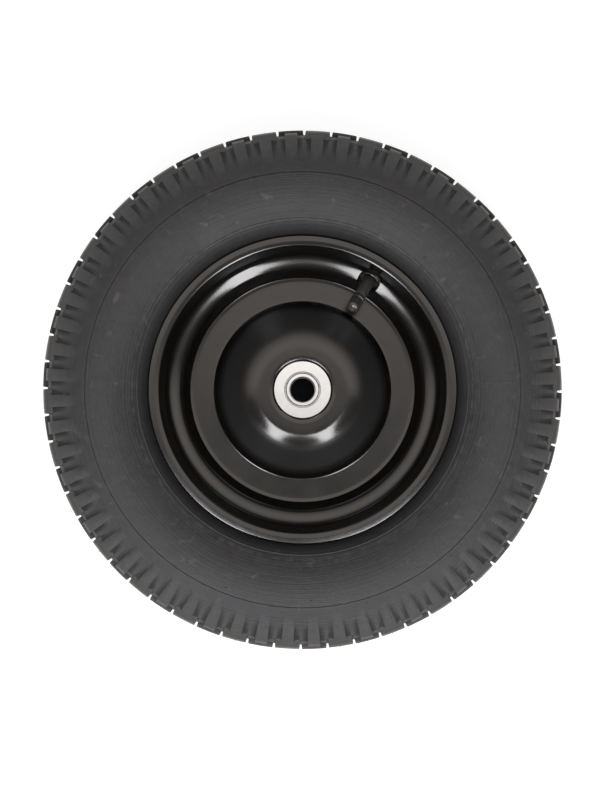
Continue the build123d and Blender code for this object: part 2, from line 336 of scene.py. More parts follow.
class Value:
    """What a shader node gives. Sums, products and ranges of it place more nodes in its tree."""

    def __init__(self, socket):
        self.socket = socket
        self.tree = socket.id_data

    def maths(self, operation, *values):
        return read(self.tree, "Math", 0, dict(enumerate(values)), operation=operation)

    def __add__(self, other):
        return self.maths("ADD", self, other)

    def __mul__(self, other):
        return self.maths("MULTIPLY", self, other)

    __radd__, __rmul__ = __add__, __mul__

    def __truediv__(self, other):
        return self.maths("DIVIDE", self, other)

    def __rtruediv__(self, other):
        return self.maths("DIVIDE", other, self)

    def __sub__(self, other):
        return self.maths("SUBTRACT", self, other)

    def __rsub__(self, other):
        return self.maths("SUBTRACT", other, self)

    def __abs__(self):
        return self.maths("ABSOLUTE", self)

    def maximum(self, other):
        return self.maths("MAXIMUM", self, other)

    def clamped(self):
        """The same value, held between 0 and 1 by the node that gives it."""
        self.socket.node.use_clamp = True
        return self

    def ranged(self, low, high, to_low=0.0, to_high=1.0):
        """Where the value lies between two limits, held within them."""
        inputs = {"Value": self, "From Min": low, "From Max": high, "To Min": to_low, "To Max": to_high}
        return read(self.tree, "MapRange", "Result", inputs)


def give(socket, value):
    """Sets an input, or joins it to what another node gives."""
    if isinstance(value, Value):
        value.tree.links.new(value.socket, socket)
    else:
        socket.default_value = value


def place(tree, kind, inputs=None, **settings):
    """A shader node with its settings and inputs."""
    node = tree.nodes.new("ShaderNode" + kind)
    for name, value in settings.items():
        setattr(node, name, value)
    for key, value in (inputs or {}).items():
        give(node.inputs[key], value)
    return node


def read(tree, kind, output, inputs=None, **settings):
    """One output of a new node."""
    return Value(place(tree, kind, inputs, **settings).outputs[output])


def opaque(colour):
    return (*colour, 1.0)


def mixed(mask, first, second):
    """The colour between two colours."""
    first, second = (c if isinstance(c, Value) else opaque(c) for c in (first, second))
    return read(mask.tree, "Mix", 2, {0: mask, 6: first, 7: second}, data_type="RGBA")


def layered(base, *layers):
    """A colour with others laid over it, each given as its mask and its colour."""
    for mask, colour in layers:
        base = mixed(mask, base, colour)
    return base


def noise(position, scale, detail, **inputs):
    inputs = {"Vector": position, "Scale": scale, "Detail": detail, **inputs}
    return read(position.tree, "TexNoise", "Fac", inputs)


def parts_of(vector):
    outputs = place(vector.tree, "SeparateXYZ", {0: vector}).outputs
    return [Value(outputs[name]) for name in "XYZ"]


def from_axis(position):
    """How far a point lies from the wheel's axis."""
    x, y, _ = parts_of(position)
    flat = read(position.tree, "CombineXYZ", 0, {0: x, 1: y})
    return read(position.tree, "VectorMath", "Value", {0: flat}, operation="LENGTH")


def lying(tree):
    """1 where a surface lies flat, 0 where it stands upright."""
    return abs(parts_of(read(tree, "NewGeometry", "Normal"))[2])


def pointiness(tree):
    return read(tree, "NewGeometry", "Pointiness")


# Effects that more than one finish uses


def grain(position, size, detail):
    return noise(position, 1.0 / size, detail, Roughness=0.6)


def patches(position, size, cover, blur):
    field = noise(position, 1.0 / size, 5.0, Roughness=0.55, Distortion=0.6)
    edge = 0.72 - cover * 0.44
    return field.ranged(edge - blur, edge + blur)


def settled_dust(position, size, amount):
    scale = 1.0 / size
    haze = noise(position, scale, 6.0).ranged(0.38, 0.75)
    specks = noise(position, scale * 22.0, 2.0).ranged(0.56, 0.72)
    return ((specks * 0.5 + haze) * lying(position.tree).ranged(0.55, 1.0) * amount).clamped()


def worn_edges(position, size, width):
    crest = pointiness(position.tree).ranged(0.505, 0.52 + width * 0.1)
    rub = noise(position, 1.0 / size, 4.0)
    return (crest * rub.ranged(0.35, 0.65)).clamped()


def ring_marks(position, pitch, drift):
    along = from_axis(position) / pitch + noise(position, 40.0, 2.0) * drift
    inputs = {"W": along, "Scale": 1.0, "Detail": 2.0}
    return read(position.tree, "TexNoise", "Fac", inputs, noise_dimensions="1D")


# The group's name, the function that fills it, what it gives, and its inputs beside the position
EFFECTS = (
    ("Grain", grain, "Height", {"Size": 0.001, "Detail": 3.0}),
    ("Patches", patches, "Mask", {"Size": 0.02, "Cover": 0.5, "Blur": 0.2}),
    ("Settled dust", settled_dust, "Mask", {"Size": 0.03, "Amount": 0.3}),
    ("Worn edges", worn_edges, "Mask", {"Size": 0.004, "Width": 0.5}),
    ("Ring marks", ring_marks, "Height", {"Pitch": 0.0004, "Drift": 1.0}),
)


def make_effects():
    """Makes each effect once, as a shader group with named sockets."""
    for name, fill, result, inputs in EFFECTS:
        tree = bpy.data.node_groups.new(name, "ShaderNodeTree")
        tree.interface.new_socket("Position", in_out="INPUT", socket_type="NodeSocketVector")
        for label, value in inputs.items():
            socket = tree.interface.new_socket(label, in_out="INPUT", socket_type="NodeSocketFloat")
            socket.default_value = value
        tree.interface.new_socket(result, in_out="OUTPUT", socket_type="NodeSocketFloat")
        given = tree.nodes.new("NodeGroupInput").outputs
        output = tree.nodes.new("NodeGroupOutput")
        give(output.inputs[result], fill(*(Value(given[label]) for label in ("Position", *inputs))))


def use(group, position, **inputs):
    """What an effect gives, placed in a finish."""
    node = position.tree.nodes.new("ShaderNodeGroup")
    node.node_tree = bpy.data.node_groups[group]
    for label, value in {"Position": position, **inputs}.items():
        give(node.inputs[label], value)
    return Value(node.outputs[0])


# Finishes. The frame's own plain materials have other names and stay apart from them.


def begin_finish(name, **values):
    """A material, its shader's inputs with the uniform ones set on the shader itself, and the position."""
    finish = bpy.data.materials.new(name)
    finish.use_nodes = True
    tree = finish.node_tree
    tree.nodes.clear()
    inputs = {label.replace("_", " "): value for label, value in values.items()}
    shader = place(tree, "BsdfPrincipled", inputs)
    output = place(tree, "OutputMaterial")
    tree.links.new(shader.outputs["BSDF"], output.inputs["Surface"])
    return finish, shader.inputs, read(tree, "TexCoord", "Object")


def coat(shader, base, roughness, *bump):
    """Joins a finish's colour, its roughness and its bump's height, strength and distance."""
    give(shader["Base Color"], base)
    give(shader["Roughness"], roughness)
    if bump:
        inputs = dict(zip(("Height", "Strength", "Distance"), bump))
        give(shader["Normal"], read(base.tree, "Bump", "Normal", inputs))


def tyre_rubber(settings):
    """Moulded black rubber with bloom, flow marks from the mould and dull patches, painted shade by the rim,
    in vent pits and in the tread's hollows, and paler edges that are partly wear, partly a painted highlight.
    """
    finish, shader, position = begin_finish("moulded_tyre", Specular_IOR_Level=0.24)
    cloud = use("Patches", position, Size=0.035, Cover=0.5, Blur=0.22)
    mottle = use("Patches", position, Size=0.006, Cover=0.45, Blur=0.2)
    # Paler edges from pointiness: partly wear, partly a painted highlight on the blocks' bevels
    worn = use("Worn edges", position, Size=0.005, Width=0.5)
    scuffs = use("Patches", position, Size=0.011, Cover=0.08, Blur=0.05)
    # Dark dots are painted shade, standing in for small vent pits
    cells = read(position.tree, "TexVoronoi", "Distance", {"Vector": position, "Scale": 24.0}, feature="F1")
    pit_shade_dots = cells.ranged(0.055, 0.04)
    radius = from_axis(position)
    # Painted shade: a darker band of rubber next to the rim's lip, where the rim shades it; the band is also
    # rougher
    rim_shade_band = radius.ranged(0.1265, 0.1185)
    trodden = radius.ranged(0.17, 0.186)
    soil = radius.ranged(0.189, 0.193) * (mottle + 0.45)
    # Painted shade: the tread's hollows near the shoulder are darkened where the pointiness is low
    recess_shade = pointiness(position.tree).ranged(0.497, 0.47) * radius.ranged(0.166, 0.18)
    base = layered(
        mixed(cloud * 0.5, settings.rubber, settings.rubber_bloom),
        (mottle * 0.34, (0.056, 0.053, 0.052)),
        (worn * 0.55, (0.12, 0.115, 0.11)),
        (scuffs * 0.4, (0.13, 0.125, 0.12)),
        (pit_shade_dots * 0.8, (0.006, 0.006, 0.006)),
        (rim_shade_band * 0.75, (0.006, 0.006, 0.007)),
        (trodden * 0.75, (0.086, 0.086, 0.089)),
        ((soil * 0.6).clamped(), (0.078, 0.07, 0.06)),
        (recess_shade * 0.85, (0.008, 0.008, 0.008)),
    )
    fine = use("Grain", position, Size=0.0009, Detail=3.0)
    waves = use("Grain", position, Size=0.012, Detail=2.0)
    rings = use("Ring marks", position, Pitch=0.0011, Drift=2.0)
    height = fine * 0.5 + waves * 2.2 + rings * 0.9
    coat(shader, base, 0.47 + cloud * 0.1 + rim_shade_band * 0.25 + mottle * 0.08, height, 1.0, 0.00026)
    return finish


def black_enamel(settings):
    """Stoved gloss enamel on pressed steel, with orange peel, a little dust, and a painted reflection on the
    dome's flank.
    """
    finish, shader, position = begin_finish("stoved_enamel", Specular_IOR_Level=0.5)
    drift = use("Patches", position, Size=0.05, Cover=0.5, Blur=0.25)
    dust = use("Settled dust", position, Size=0.02, Amount=0.06)
    worn = use("Worn edges", position, Size=0.006, Width=0.7)
    dark = tuple(0.8 * c for c in settings.enamel)
    # The coat is duller on the dome's steep flank, and paler there as a painted reflection
    flat = lying(position.tree)
    on_dome = from_axis(position).ranged(0.066, 0.06)
    base = layered(
        mixed(drift, dark, settings.enamel),
        (dust, settings.enamel_dust),
        (worn * 0.12, (0.14, 0.13, 0.12)),
        (flat.ranged(0.8, 0.66) * on_dome, (0.0125, 0.0125, 0.013)),
    )
    rough = 0.13 + drift * 0.04 + dust * 0.3 + flat.ranged(0.93, 0.78) * on_dome * 0.26
    peel = use("Grain", position, Size=0.0022, Detail=1.5)
    swell = use("Grain", position, Size=0.014, Detail=1.0)
    coat(shader, base, rough, peel * 0.35 + swell, 0.25, 0.00012)
    return finish


def zinc_steel(settings):
    """Turned bearing rings with bright zinc plate."""
    finish, shader, position = begin_finish("zinc_plate", Metallic=1.0)
    cloud = use("Patches", position, Size=0.006, Cover=0.5, Blur=0.25)
    dull = tuple(0.86 * c for c in settings.zinc)
    base = mixed(cloud * 0.6, settings.zinc, dull)
    lines = use("Ring marks", position, Pitch=0.00018, Drift=0.6)
    coat(shader, base, 0.08 + lines * 0.09, lines, 0.08, 0.00003)
    return finish


def bearing_steel():
    """Ground steel of the balls and their cage, with a film of grease."""
    finish, shader, position = begin_finish("ground_steel", Metallic=1.0)
    film = use("Patches", position, Size=0.002, Cover=0.4, Blur=0.2)
    base = mixed(film, (0.58, 0.58, 0.6), (0.42, 0.36, 0.27))
    coat(shader, base, 0.18 + film * 0.2)
    return finish


def turned_brass(settings):
    """Machined brass of the valve's stem and core."""
    finish, shader, position = begin_finish("turned_brass", Metallic=1.0)
    tarnish = use("Patches", position, Size=0.004, Cover=0.4, Blur=0.2)
    base = mixed(tarnish, settings.brass, (0.4, 0.27, 0.12))
    fine = use("Grain", position, Size=0.0003, Detail=2.0)
    coat(shader, base, 0.26 + tarnish * 0.22, fine, 0.2, 0.00003)
    return finish


def moulded(name, colour, pale, roughness, grain_size):
    """A moulded rubber or plastic with a fine grain and pale rub marks."""
    finish, shader, position = begin_finish(name, Specular_IOR_Level=0.5)
    cloud = use("Patches", position, Size=0.005, Cover=0.45, Blur=0.22)
    worn = use("Worn edges", position, Size=0.002, Width=0.6)
    base = layered(mixed(cloud * 0.35, colour, pale), (worn * 0.5, pale))
    fine = use("Grain", position, Size=grain_size, Detail=3.0)
    coat(shader, base, roughness + cloud * 0.12, fine, 0.3, 0.00008)
    return finish


# Tyre

# Zones round one pitch of the tread. A low zone always lies beside a higher one.
ZONES = ("groove", "block", "block_rib", "tee", "tee_rib")
# Which columns of a pitch run on over the plain sidewall and the inside
PLAIN_COLUMNS = (0, 3, 7, 11, 14, 18, 22, 26)


class Section:
    """The tyre's section, in millimetres, as the user's sizes give it."""

    shoulder_angle = 44.4
    block_row_ends = (7.5, 9.0, 20.5, 22.0, 34.5)
    lug_drop = 1.8
    rib_relief = 1.35
    rib_relief_end = 0.06
    rib_foot_angle = 17.7
    panel_relief = 0.1
    bevel = 0.5
    draft = 0.35

    def __init__(self, settings):
        self.outside = settings.outside_radius / MM
        self.depth = settings.tread_depth / MM
        self.round = settings.sidewall_round / MM
        self.widest = settings.widest_radius / MM
        self.centre = settings.half_width / MM - self.round
        self.shoulder = self.sidewall(self.shoulder_angle)
        drop = self.outside - self.depth - self.shoulder[0]
        self.crown = (self.shoulder[1] ** 2 + drop**2) / (2 * drop)

    def sidewall(self, angle, proud=0.0):
        reach = self.round + proud
        return (self.widest + reach * sin(radians(angle)), self.centre + reach * cos(radians(angle)))

    def tread(self, height, sunk=0.0):
        """The tread's radius at a height from the mid-plane; the middle row is flat."""
        height = max(height, self.block_row_ends[0])
        return self.outside - sunk - self.crown + sqrt(self.crown**2 - height**2)

    def floor(self, height):
        """The radius of the grooves' floor."""
        start = self.block_row_ends[3]
        if height <= start:
            return self.tread(height, self.depth)
        share = (height - start) / (self.shoulder[1] - start)
        first = self.tread(start, self.depth)
        return first + (self.shoulder[0] - first) * share

    def on_tread(self, height, levels):
        """A station of the tread: its foot, the way its walls rise and how far each zone rises."""
        foot = self.floor(height)
        rise = {
            zone: max(0.0, self.tread(height, self.depth - level) - foot) if level > 0 else 0.0
            for zone, level in levels.items()
        }
        return ((foot, height), (1.0, 0.0), rise, True)

    def wall(self, height, inward, low, high):
        """Four stations across a block's wall, from its foot to the flat of its top."""

        def lowered(cut):
            return {zone: min(high[zone], max(low[zone], high[zone] - cut)) for zone in ZONES}

        return [
            self.on_tread(height - inward * self.draft, low),
            self.on_tread(height, lowered(self.bevel)),
            self.on_tread(height + inward * self.bevel * 0.35, lowered(self.bevel * 0.3)),
            self.on_tread(height + inward * self.bevel, high),
        ]

    def on_sidewall(self, angle, rise, proud=0.0, fine=True):
        turn = radians(angle)
        return (self.sidewall(angle, proud), (sin(turn), cos(turn)), rise, fine)


def levels(**raised):
    return {zone: raised.get(zone, 0.0) for zone in ZONES}


def distance_to_line(foot, way, first, second):
    """How far from a foot, along its way, a line through two points lies."""
    run = (second[0] - first[0], second[1] - first[1])
    down = way[0] * run[1] - way[1] * run[0]
    return ((first[0] - foot[0]) * run[1] - (first[1] - foot[1]) * run[0]) / down


def tyre_stations(section):
    """Stations along half of the tyre's section, from the middle of the tread to the inside."""
    depth, lug = section.depth, section.depth - section.lug_drop
    centre_end, second_start, second_end, shoulder_start, shoulder_end = section.block_row_ends
    groove = levels()
    centre = levels(block=depth, block_rib=depth)
    second = levels(tee=depth, tee_rib=depth)
    step = levels(tee_rib=lug)
    edge_row = levels(block=depth, block_rib=depth, tee_rib=lug)
    stations = [section.on_tread(0, centre), section.on_tread(centre_end / 2, centre)]
    stations += reversed(section.wall(centre_end, -1, groove, centre))
    stations += section.wall(second_start, 1, groove, second)
    stations.append(section.on_tread((second_start + second_end) / 2, second))
    stations += reversed(section.wall(second_end, -1, step, second))
    stations += section.wall(shoulder_start, 1, step, edge_row)
    for share in (0.35, 0.7):
        stations.append(section.on_tread(shoulder_start + (shoulder_end - shoulder_start) * share, edge_row))
    stations.append(section.on_tread(shoulder_end - 0.7, edge_row))

    # The shoulder's face, where the blocks lean over towards the sidewall
    tread_corner = (section.tread(shoulder_end), shoulder_end)
    block_end = (section.shoulder[0] - 1, section.shoulder[1] + 2)
    lug_corner = (section.tread(shoulder_end, section.lug_drop), shoulder_end)
    lug_end = (section.shoulder[0] - 1, section.shoulder[1] + 1.2)
    first_foot = (section.floor(shoulder_end), shoulder_end)
    lean = (sin(radians(section.shoulder_angle)), cos(radians(section.shoulder_angle)))
    for share, softened in ((0.0, 0.14), (0.12, 0.1), (0.3, 0.0), (0.65, 0.0), (1.0, 0.0)):
        foot = tuple(a + (b - a) * share for a, b in zip(first_foot, section.shoulder))
        way = Vector((1 + (lean[0] - 1) * share, lean[1] * share)).normalized()
        tall = distance_to_line(foot, way, tread_corner, block_end) - softened
        short = distance_to_line(foot, way, lug_corner, lug_end) - softened
        if share == 0.0:
            tall, short = tread_corner[0] - foot[0] - softened, lug_corner[0] - foot[0] - softened
        rib = section.rib_relief * share**2
        rise = levels(block=tall, block_rib=max(tall, rib), tee_rib=max(short, rib))
        stations.append((foot, tuple(way), rise, True))
    for angle, tall in ((43.1, 0.95), (42.2, 0.7), (41.4, 0.0)):
        rise = levels(block=tall, block_rib=max(tall, section.rib_relief), tee_rib=section.rib_relief)
        proud = section.panel_relief * (section.shoulder_angle - angle) / 3
        stations.append(section.on_sidewall(angle, rise, proud=proud))

    # Ribs down the sidewall, on a panel that ends at a faint step
    for angle in (38, 34, 30, 26, 22, 19, 17.7):
        share = min(1.0, max(0.0, (40 - angle) / (40 - section.rib_foot_angle)))
        relief = section.rib_relief + (section.rib_relief_end - section.rib_relief) * share
        rise = levels(block_rib=relief, tee_rib=relief)
        stations.append(section.on_sidewall(angle, rise, proud=section.panel_relief))
    for angle, proud in ((17.0, 0.8), (16.2, 0.2)):
        stations.append(section.on_sidewall(angle, groove, proud=section.panel_relief * proud))

    # Plain sidewall with its pin-stripe groove and the ring above the rim
    plain = [
        (15.4, 0), (13.4, 0), (11.4, 0), (9.9, 0), (9.3, 0), (8.95, -0.05), (8.8, -0.8), (7.75, -0.8),
        (7.6, -0.05), (7.2, 0), (5.5, 0), (3, 0), (0.5, 0), (-2, 0), (-5, 0), (-8, 0), (-11, 0), (-14, 0),
        (-17, 0), (-20, 0), (-23, 0), (-26, 0), (-29, 0),
        (-31.3, 0), (-31.5, -0.35), (-31.9, -0.35), (-32.1, 0),
        (-34.2, 0), (-34.4, -0.3), (-34.7, -0.3), (-34.9, 0), (-36.4, 0), (-37.2, 0),
        (-37.55, 0.28), (-37.95, 0.42), (-38.35, 0.28), (-38.7, -0.12), (-39.3, -0.12),
    ]
    for angle, proud in plain:
        stations.append(section.on_sidewall(angle, groove, proud=proud, fine=False))

    # Bead and inside
    lip = bpy.context.scene.wheel_rim.lip_radius / MM
    inside = [
        (121.6, 38.6), (120.4, 36.9), (119.5, 35.6), (118.9, 34.4),
        (lip + 1.2, 33.6), (lip + 0.75, 32.4), (lip + 0.6, 30.8),
        (111.3, 30.8), (110.0, 29.9), (108.1, 25.1), (106.15, 20.3), (110.6, 21.2), (115.15, 22.3),
    ]
    inside += [section.sidewall(angle, -4.5) for angle in (-56, -42, -28, -14, 0, 11, 22, 33, 44.4)]
    inside += [(191.5, 11.0), (191.5, 0.0)]
    stations += [(point, (0.0, 0.0), groove, False) for point in inside]
    return stations


def pitch_columns(section, turn):
    """Columns of one pitch: azimuth in degrees, zone, the zone beside it and how far the edge is cut."""
    degree = degrees(1 / section.outside)
    half_pitch = turn / 2
    block = half_pitch / 2 - degree
    rib = 9.7 / 2 * degree
    cut, back = section.bevel, section.bevel * degree
    left = [
        (-block - section.draft * degree, "groove", "groove", 0),
        (-block, 1, "groove", cut),
        (-block + back * 0.35, 1, "groove", cut * 0.3),
        (-block + back, 1, "groove", 0),
        (-rib - section.draft * degree, 1, 1, 0),
        (-rib, 2, 1, cut * 0.6),
        (-rib + back, 2, 1, 0),
    ]
    side = left + [(0.0, 2, 2, 0)] + [(-azimuth, *rest) for azimuth, *rest in reversed(left)]
    columns = []
    halves = ((0.0, ("groove", "block", "block_rib")), (half_pitch, ("groove", "tee", "tee_rib")))
    for middle, names in halves:
        for azimuth, zone, beside, edge in side:
            zone = names[zone] if isinstance(zone, int) else zone
            beside = names[beside] if isinstance(beside, int) else beside
            columns.append((middle + azimuth, zone, beside, edge))
    return columns


def station_point(station, column):
    (across, up), (out, over), rise, _ = station
    _, zone, beside, edge = column
    height = rise[zone] if zone == beside else max(rise[beside], rise[zone] - edge)
    return across + out * height, up + over * height


def tyre_shape(settings):
    """Points and faces of the whole tyre, with few columns where it is plain."""
    section = Section(settings)
    turn = 360 / settings.pitches
    half = tyre_stations(section)
    front = [(station, 1) for station in half]
    back = [(station, -1) for station in reversed(half[1:-1])]
    fine = []
    for pitch in range(settings.pitches):
        start = degrees(settings.tread_turn) + pitch * turn
        fine += [(start + azimuth, *rest) for azimuth, *rest in pitch_columns(section, turn)]
    per_pitch = len(fine) // settings.pitches
    coarse = [pitch * per_pitch + k for pitch in range(settings.pitches) for k in PLAIN_COLUMNS]
    points, rows = [], []
    for station, side in front + back:
        chosen = range(len(fine)) if station[3] else coarse
        row = {}
        for number in chosen:
            across, up = station_point(station, fine[number])
            azimuth = radians(fine[number][0])
            row[number] = len(points)
            points.append(around(across, azimuth, side * up))
        rows.append(row)
    faces = []
    for number, row in enumerate(rows):
        following = rows[(number + 1) % len(rows)]
        marks = sorted(set(row) & set(following))
        for k, mark in enumerate(marks):
            goal = marks[(k + 1) % len(marks)]
            last = goal if goal > mark else goal + len(fine)
            steps = range(mark, last + 1)
            lower = [row[s % len(fine)] for s in steps if s % len(fine) in row]
            upper = [following[s % len(fine)] for s in steps if s % len(fine) in following]
            faces.append(lower + upper[::-1])
    return section, points, faces


def loop(count, centre, across, up, radius):
    """A ring of points about a centre, between two directions."""
    turns = [2 * pi * k / count for k in range(count)]
    return [centre + (across * cos(turn) + up * sin(turn)) * radius for turn in turns]


def tube(count, rings):
    """Faces of a closed tube with as many rings of points, each of as many corners, and its two ends."""
    faces = [list(range(count)), list(range(count * (rings - 1), count * rings))]
    for first in range(0, count * (rings - 1), count):
        for k in range(count):
            following = (k + 1) % count
            faces.append([first + k, first + following, first + count + following, first + count + k])
    return faces


def whisker(section, azimuth, height, lean, length):
    """One thin rubber hair that the mould's vent leaves on a block."""
    out, across, up = around(1, azimuth), around(1, azimuth + pi / 2), Vector((0, 0, 1))
    start = out * (section.tread(height) - 0.4) + up * height
    points, corners, rings = [], 6, 7
    for ring in range(rings):
        share = ring / (rings - 1)
        middle = start + out * length * share * (1 - 0.35 * share)
        middle += (across * lean + up * 0.25) * length * share**2
        points += loop(corners, middle, across, up, 0.34 * (1 - 0.6 * share))
    return points, tube(corners, rings)


def merged(parts):
    """Several shapes as one list of points and one of faces."""
    points, faces = [], []
    for more_points, more_faces in parts:
        faces += [[corner + len(points) for corner in face] for face in more_faces]
        points += more_points
    return points, faces


def sidewall_pip(section, azimuth, angle, side, radius):
    """The stub that a vent leaves on the sidewall."""
    across, up = section.sidewall(angle)
    centre = around(across, azimuth, up)
    normal = around(sin(radians(angle)), azimuth, cos(radians(angle)))
    sideways = around(1, azimuth + pi / 2)
    points, corners = [], 12
    outline = ((1.5, -0.3), (1.35, 0.03), (1.0, 0.1), (0.86, 0.36), (0.6, 0.42))
    for reach, rise in outline:
        points += loop(corners, centre + normal * rise, sideways, normal.cross(sideways), reach * radius)
    return [(x, y, z * side) for x, y, z in points], tube(corners, len(outline))


def mould_line(section, azimuth, first, last, side):
    """A fine raised line along the sidewall where two parts of the mould meet."""
    points, steps = [], 24
    for k in range(steps + 1):
        angle = first + (last - first) * k / steps
        fade = min(1.0, 4 * min(k, steps - k) / steps)
        for offset, proud in ((-0.5, -0.25), (-0.2, 0.32 * fade), (0.2, 0.32 * fade), (0.5, -0.25)):
            across, up = section.sidewall(angle, proud)
            points.append(around(across, azimuth + offset / across, up * side))
    return points, tube(4, steps + 1)


class WHEEL_OT_tyre(Operator):
    """Build the tyre with its tread blocks, sidewall ribs and mould marks"""

    bl_idname = "wheel.tyre"
    bl_label = "Tyre"

    def execute(self, context):
        settings = context.scene.wheel_tyre
        rubber = tyre_rubber(settings)
        section, points, faces = tyre_shape(settings)
        mesh = build_mesh("tyre_moulding", points, faces, sharp=radians(40))
        add_piece("tyre_moulding", mesh, rubber, "wheel", "tyre_rubber", "tyre")

        # Hairs stand on a few blocks, as the photograph shows: azimuth, height, lean and length
        hairs = [
            (254.9, 5.2, 0.5, 3.6), (278.5, 5.0, -0.3, 3.3), (290.3, 5.1, 0.4, 3.8), (44.6, 4.8, 0.6, 3.4),
            (66.9, 5.3, -0.4, 3.0), (98.2, 5.0, 0.3, 2.6), (142.4, 5.1, 0.5, 3.0), (218.7, 4.9, -0.6, 3.3),
            (313.8, 5.2, 0.3, 3.0),
        ]
        hairs = [whisker(section, radians(azimuth), *rest) for azimuth, *rest in hairs]

        # Stubs of the vents, in three rings a side: how many, at which angle, and their radius
        chance = random.Random(4)
        pips, lines = [], []
        for side in (1, -1):
            for count, angle, radius in ((16, 3.2, 0.62), (16, -25.0, 0.62), (15, 13.6, 0.6)):
                for number in range(count):
                    azimuth = radians(number * 360 / count + chance.uniform(-3, 3))
                    where = angle + chance.uniform(-0.6, 0.6)
                    pips.append(sidewall_pip(section, azimuth, where, side, radius))
            for azimuth, first, last in ((2.1, -36.0, 7.0), (47.1, -31.0, 2.0), (138.1, -37.0, -12.0)):
                lines.append(mould_line(section, radians(azimuth), first, last, side))

        small = (("mould_hairs", hairs, 60), ("vent_pips", pips, 50), ("mould_lines", lines, 50))
        for name, parts, sharp in small:
            mesh = build_mesh(name, *merged(parts), sharp=radians(sharp))
            add_piece(name, mesh, rubber, "wheel", "tyre_rubber")
        dress("inner_tube", moulded("inner_tube_skin", (0.03, 0.03, 0.031), (0.06, 0.06, 0.06), 0.42, 0.0008))
        return {"FINISHED"}


# Rim


def rim_outline(settings):
    """The pressed sheet's section: its visible skin, the rounded lip, and back under the sheet."""
    sheet, lip = settings.sheet / MM, settings.lip_radius / MM
    dome = settings.dome_height / MM
    skin = rounded([
        (20.02, dome - 8, 0), (20.02, dome, 0), (42.0, dome, 21.0), (68.8, sheet, 1.6), (84.2, sheet, 1.5),
        (86.9, sheet + 0.3, 0.7), (93.7, 14.5, 9.5), (102.4, 16.9, 6.5), (108.9, 32.6, 2.0),
        (112.5, 33.0, 5.0), (lip + 4, 33.0 - 0.03 * (lip - 108.5), 0), (lip + 4, dome - 8, 0),
    ], step=radians(4))
    line = [point for point in skin if dome - 0.01 < point[1] or point[0] > 21]
    line = [point for point in line if point[0] < lip + 1 and point[0] > 20]
    # A narrow groove round the bearing's flange
    line = [(20.02, dome), (21.2, dome), (21.95, dome - 1.4), (22.65, dome - 0.08), (22.85, dome)] + [
        point for point in line if point[0] > 23.4]
    edge = 1.6
    crest = 33.0 - 0.03 * (lip - edge - 112.5)
    line = [point for point in line if point[0] < lip - edge]
    line.append((lip - edge, crest))
    under = shifted(line, sheet)
    roll = []
    for k in range(1, 12):
        turn = pi / 2 * k / 12
        roll.append((lip - edge + edge * sin(turn), crest - edge + edge * cos(turn)))
    roll += [(lip, crest - edge), (lip - 0.05, crest - sheet + 0.08), (lip - 0.25, crest - sheet)]
    return line + roll + under[::-1]


def valve_place():
    """The valve's frame: Z runs from the rim's hole towards the hub and the front."""
    along = around(-cos(VALVE_LEAN), VALVE_AZIMUTH, sin(VALVE_LEAN))
    return framed(VALVE_AZIMUTH, along, around(VALVE_RADIUS, VALVE_AZIMUTH, VALVE_HEIGHT) * MM)


def cut_hole(mesh, cutter_mesh):
    """The mesh with the space of another taken out of it."""
    body = bpy.data.objects.new("body", mesh)
    cutter = bpy.data.objects.new("cutter", cutter_mesh)
    for piece in (body, cutter):
        bpy.context.collection.objects.link(piece)
    cut = body.modifiers.new("hole", "BOOLEAN")
    cut.operation, cut.solver, cut.object = "DIFFERENCE", "EXACT", cutter
    bpy.context.view_layer.update()
    result = bpy.data.meshes.new_from_object(body.evaluated_get(bpy.context.evaluated_depsgraph_get()))
    for piece in (body, cutter):
        bpy.data.objects.remove(piece)
    if len(result.polygons) <= len(mesh.polygons) // 2:
        raise RuntimeError("the valve's hole could not be cut")
    return result


class WHEEL_OT_rim(Operator):
    """Build the two pressed halves of the rim and the hub tube's finish"""

    bl_idname = "wheel.rim"
    bl_label = "Rim"

    def execute(self, context):
        settings = context.scene.wheel_rim
        enamel = black_enamel(settings)
        hole = context.scene.wheel_fittings.hole_radius / MM
        outline = spread(rim_outline(settings), 3.2)
        points, faces = turned(outline, settings.turns)
        back = build_mesh("rim_half_back", [(x, y, -z) for x, y, z in points], faces)
        add_piece("rim_half_back", back, enamel, "wheel", "black_enamel", "rim_back")
        front = build_mesh("rim_half_front", points, faces)
        drill = turned([(0, -8), (hole + 1.3, -8), (hole + 1.3, 14), (0, 14)], 64)
        front = cut_hole(front, build_mesh("drill", *drill, place=valve_place()))
        front.name = "rim_half_front"
        smooth_mesh(front, radians(34))
        add_piece("rim_half_front", front, enamel, "wheel", "black_enamel", "rim_front")

        # The hole's edge is pressed outwards into a rounded collar
        collar = rounded([
            (hole, -2.8, 0.3), (hole + 1.9, -2.8, 0.3), (hole + 1.3, 0.7, 1.0), (hole, 0.7, 0.45),
        ])
        mesh = build_mesh("valve_hole_collar", *turned(collar, 72), place=valve_place())
        add_piece("valve_hole_collar", mesh, enamel, "wheel", "black_enamel")
        dress("hub_tube", enamel)
        return {"FINISHED"}


# Bearings and valve


class WHEEL_OT_bearings(Operator):
    """Give the bearing rings, balls and cages their finishes"""

    bl_idname = "wheel.bearings"
    bl_label = "Bearings"

    def execute(self, context):
        zinc, steel = zinc_steel(context.scene.wheel_fittings), bearing_steel()
        finishes = {"outer_race": zinc, "inner_race": zinc, "ball_cage": steel, "balls": steel}
        for side in ("front", "back"):
            for part, finish in finishes.items():
                dress(f"{side}_{part}", finish)
        return {"FINISHED"}


